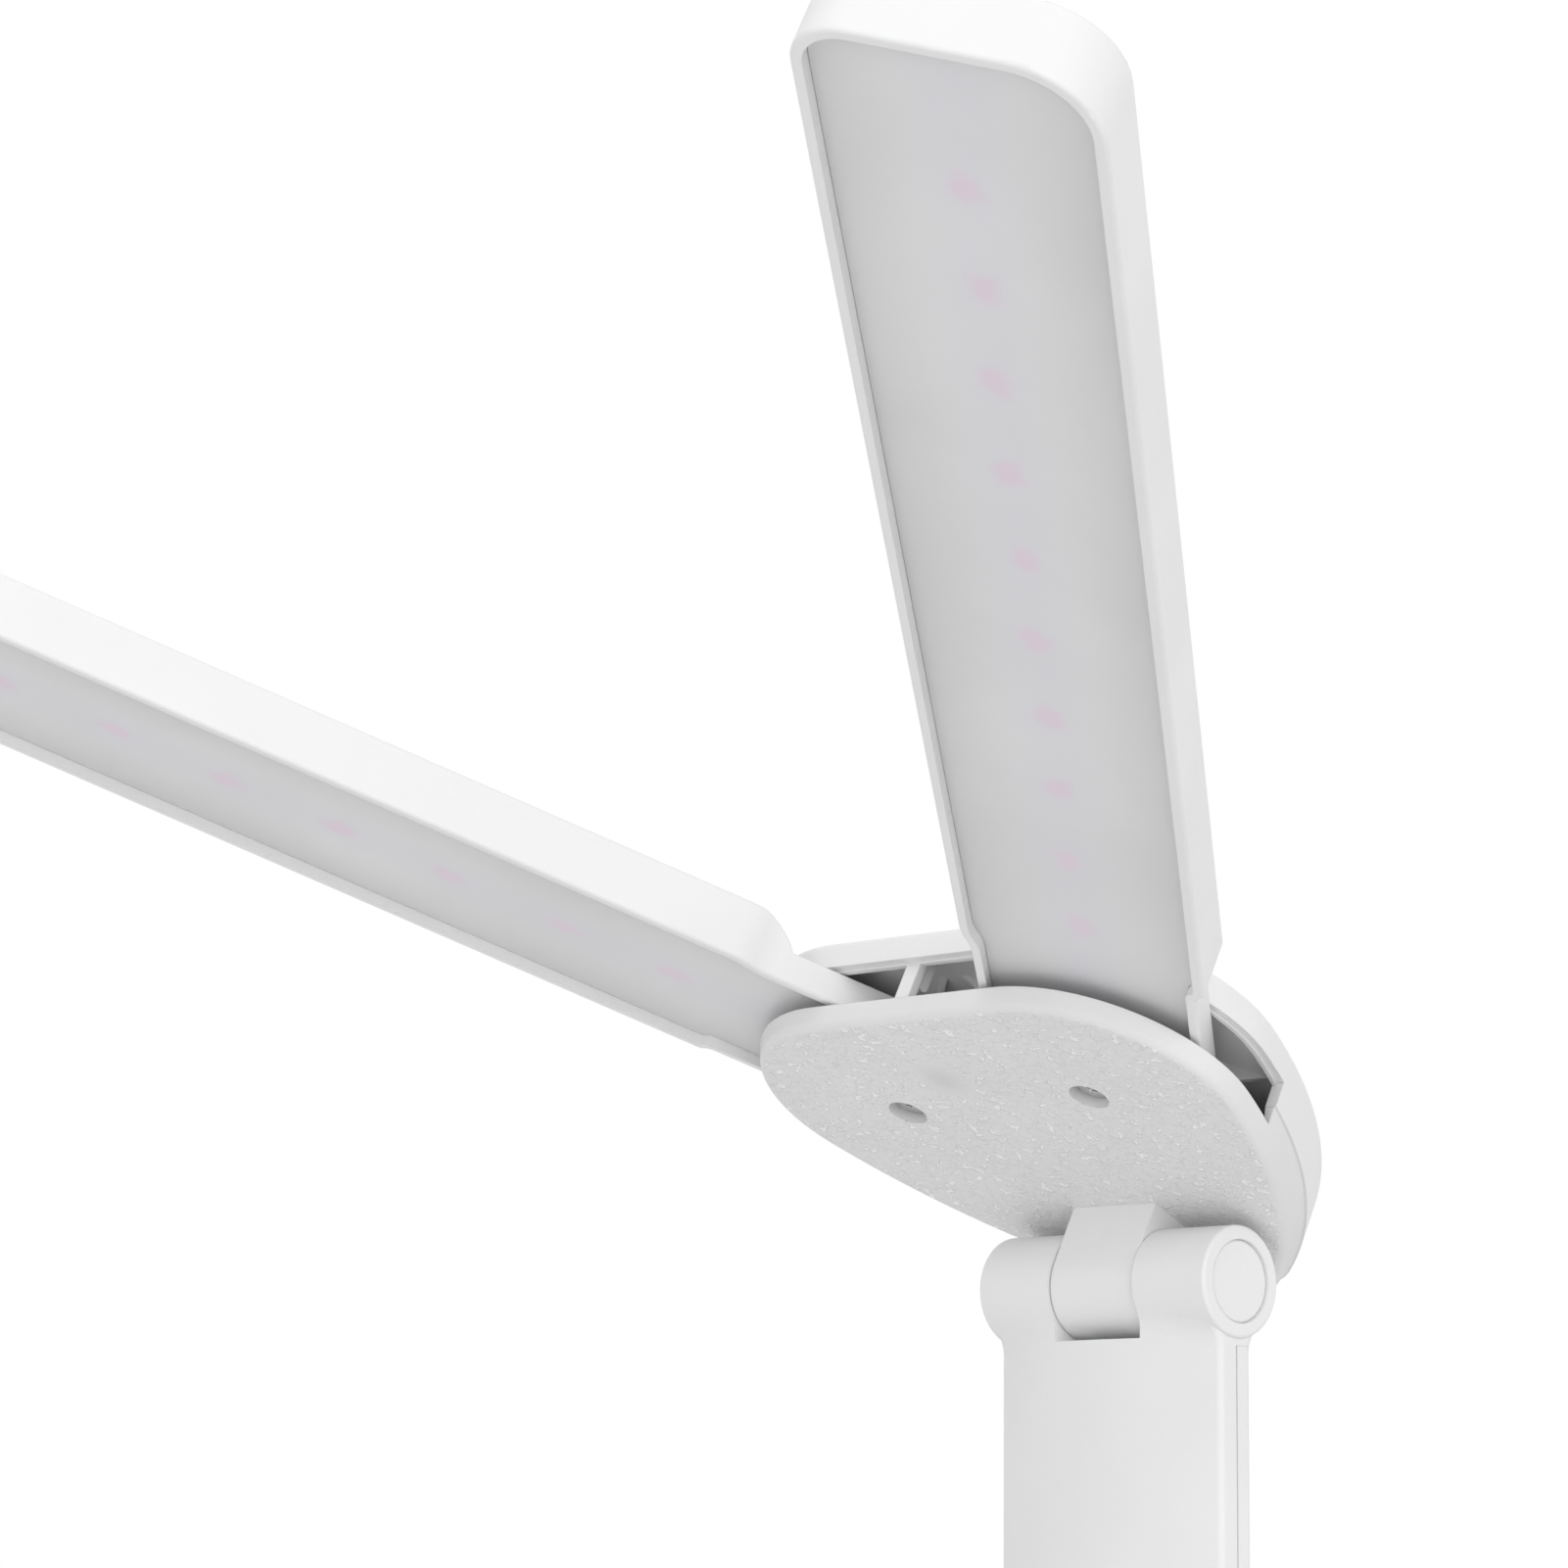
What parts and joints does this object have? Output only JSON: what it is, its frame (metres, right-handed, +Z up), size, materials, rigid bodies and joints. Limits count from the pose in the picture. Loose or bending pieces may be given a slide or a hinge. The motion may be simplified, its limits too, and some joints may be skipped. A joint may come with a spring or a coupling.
{
  "type": "folding led desk lamp",
  "caption": "Folding desk lamp: flat upright arm on a weighted base, with a tilting hub that carries two slim LED light bars which swing apart.",
  "frame": {"origin": "centre of the underside of the non-slip pad, on the table", "axes": "+Z up, the light bars reach towards -Y, +X towards the right light bar"},
  "size_m": [0.2888, 0.2159, 0.4211],
  "materials": {
    "housing": "satin white moulded ABS",
    "grained_plate": "white moulded ABS with a fine leather grain",
    "diffuser": "milky polycarbonate light cover",
    "hinge_steel": "plain steel hinge and fastener stock",
    "ballast_steel": "blackened ballast plate",
    "bush": "natural acetal bearing plastic",
    "circuit_board": "white solder mask",
    "control_circuit": "green solder mask",
    "led_package": "LED package with a phosphor lens",
    "battery_wrap": "shrink wrapped lithium pouch",
    "lead_jacket": "soft white wire jacket",
    "socket_shell": "drawn steel shell",
    "pad": "soft non-slip rubber",
    "touch": "smooth touch disc",
    "contact": "conductive foam",
    "light_pipe": "clear light pipe"
  },
  "bodies": {
    "base": {"base_cover": "housing", "base_pedestal": "housing", "pedestal_screws": "hinge_steel", "base_plate": "housing", "non_slip_pad": "pad", "base_screws": "hinge_steel", "base_tongue": "housing", "base_tongue_screws": "hinge_steel", "counterweight": "ballast_steel", "battery": "battery_wrap", "control_board": "control_circuit", "touch_disc": "touch", "touch_contact": "contact", "indicator_light": "light_pipe", "charge_board": "control_circuit", "charge_socket": "socket_shell"},
    "arm": {"arm_front_shell": "housing", "arm_rear_cover": "housing", "arm_lead": "lead_jacket", "lower_hinge_shaft": "hinge_steel", "lower_hinge_nut": "hinge_steel", "lower_spring_washers": "hinge_steel", "lower_hinge_cap_left": "housing", "lower_hinge_cap_right": "housing", "upper_hinge_shaft": "hinge_steel", "upper_hinge_nut": "hinge_steel", "upper_spring_washers": "hinge_steel", "upper_hinge_cap_left": "housing", "upper_hinge_cap_right": "housing"},
    "hub": {"hub_cover": "housing", "hub_plate": "grained_plate", "hub_tongue": "housing", "hub_tongue_screws": "hinge_steel", "pivot_screws": "hinge_steel", "left_pivot_washer": "hinge_steel", "right_pivot_washer": "hinge_steel"},
    "left_head": {"left_bar_shell": "housing", "left_diffuser": "diffuser", "left_led_board": "circuit_board", "left_leds": "led_package", "left_pivot_bush": "bush"},
    "right_head": {"right_bar_shell": "housing", "right_diffuser": "diffuser", "right_led_board": "circuit_board", "right_leds": "led_package", "right_pivot_bush": "bush"}
  },
  "joints": [
    {"name": "arm_fold", "type": "hinge", "parent": "base", "child": "arm", "pos_m": [0, 0.048, 0.04465], "axis": [1, 0, 0], "range_deg": [-12, 90]},
    {"name": "head_tilt", "type": "hinge", "parent": "arm", "child": "hub", "pos_m": [0, 0.048, 0.30465], "axis": [-1, 0, 0], "range_deg": [-117.1, 62.9]},
    {"name": "left_head_swing", "type": "hinge", "parent": "hub", "child": "left_head", "pos_m": [-0.01675, 0.0223, 0.32774], "axis": [0, -0.4555, -0.8902], "range_deg": [-33.6, 46.4]},
    {"name": "right_head_swing", "type": "hinge", "parent": "hub", "child": "right_head", "pos_m": [0.01675, 0.0223, 0.32774], "axis": [0, 0.4555, 0.8902], "range_deg": [-34.8, 45.2]}
  ]
}
